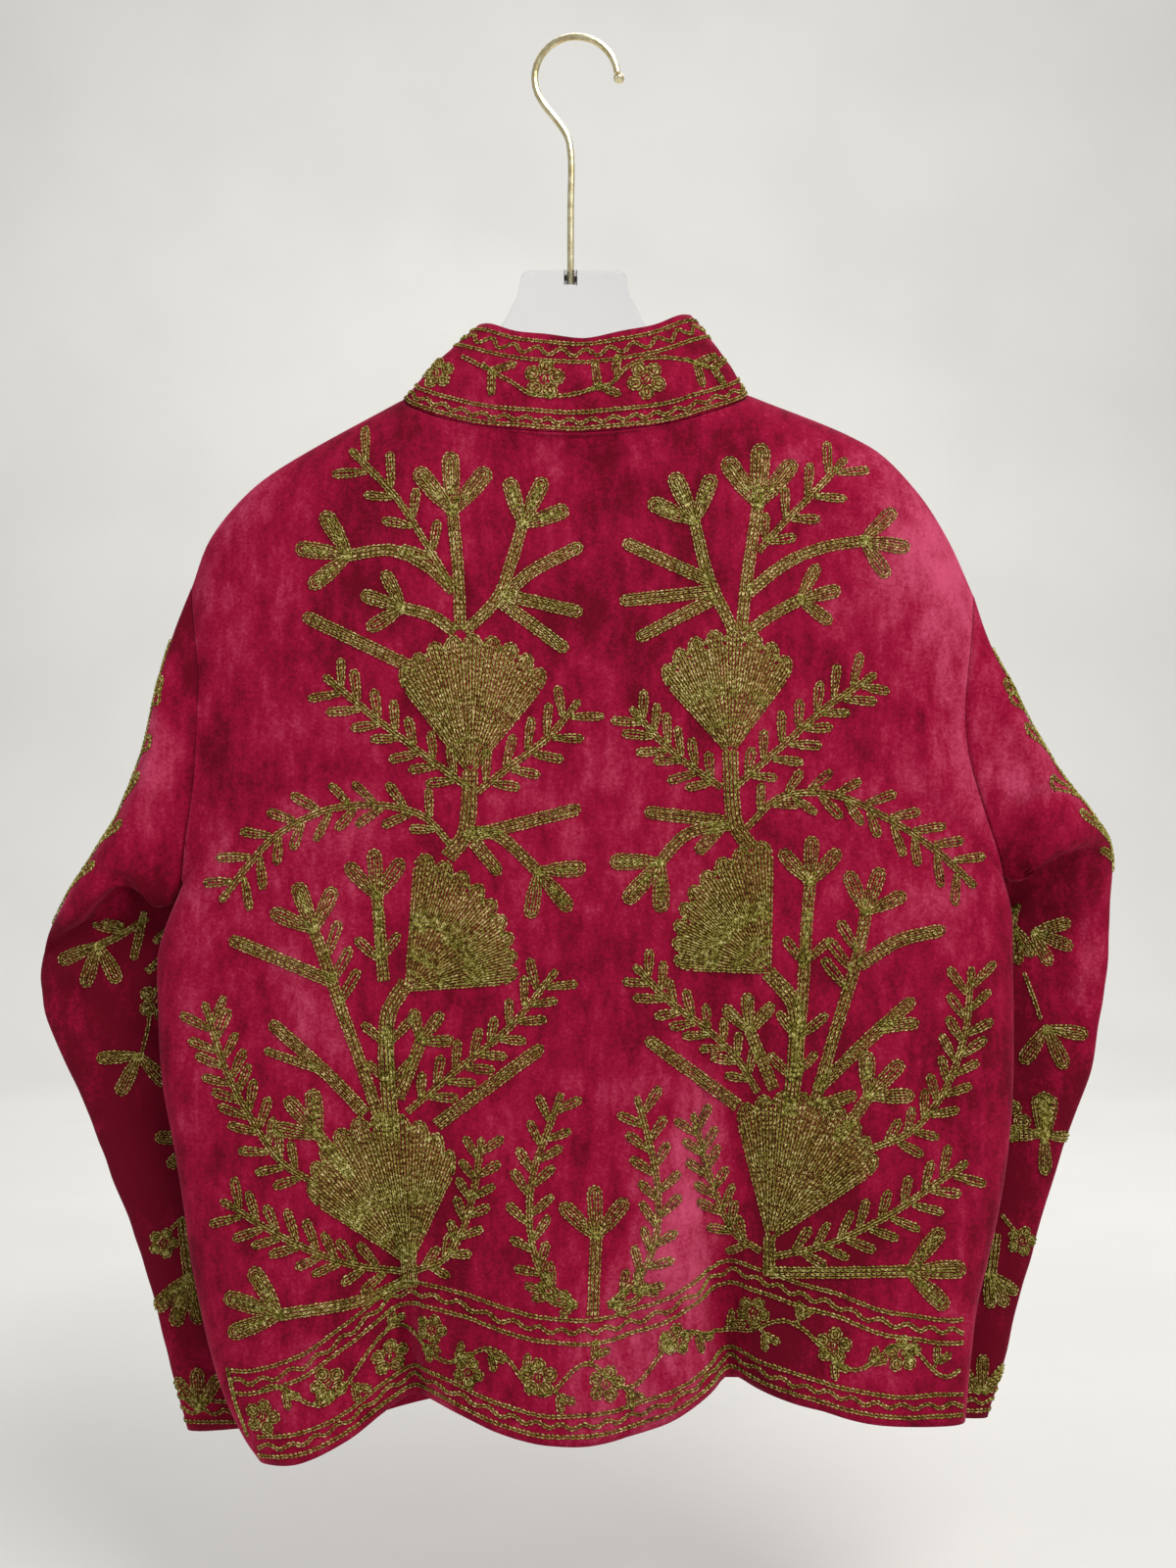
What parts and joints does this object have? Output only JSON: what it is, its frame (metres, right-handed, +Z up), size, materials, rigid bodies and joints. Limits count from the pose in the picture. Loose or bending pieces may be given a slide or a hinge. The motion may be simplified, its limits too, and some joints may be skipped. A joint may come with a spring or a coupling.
{
  "type": "embroidered velvet jacket on a clear hanger with a wire hook",
  "caption": "Hip-length velvet jacket with stand collar, dropped shoulders and chain-stitch flowers, hanging from a clear plate hanger by its wire hook",
  "frame": {"origin": "the inside top of the hook, where a rail or peg carries the hanger", "axes": "+Z up, +X towards the wearer's right, -Y out of the back panel and +Y out of the fronts"},
  "size_m": [0.6918, 0.1097, 0.8943],
  "materials": {
    "velvet": "crushed crimson velvet",
    "thread": "olive wool thread in chain stitch",
    "acrylic": "clear polished acrylic",
    "brass": "polished pale brass"
  },
  "bodies": {
    "root": {"back": "velvet", "front_left": "velvet", "front_right": "velvet", "sleeve_left": "velvet", "sleeve_right": "velvet", "collar": "velvet", "hanger": "acrylic", "hook": "brass", "ferrule": "brass", "hook_tip": "brass"}
  },
  "joints": []
}
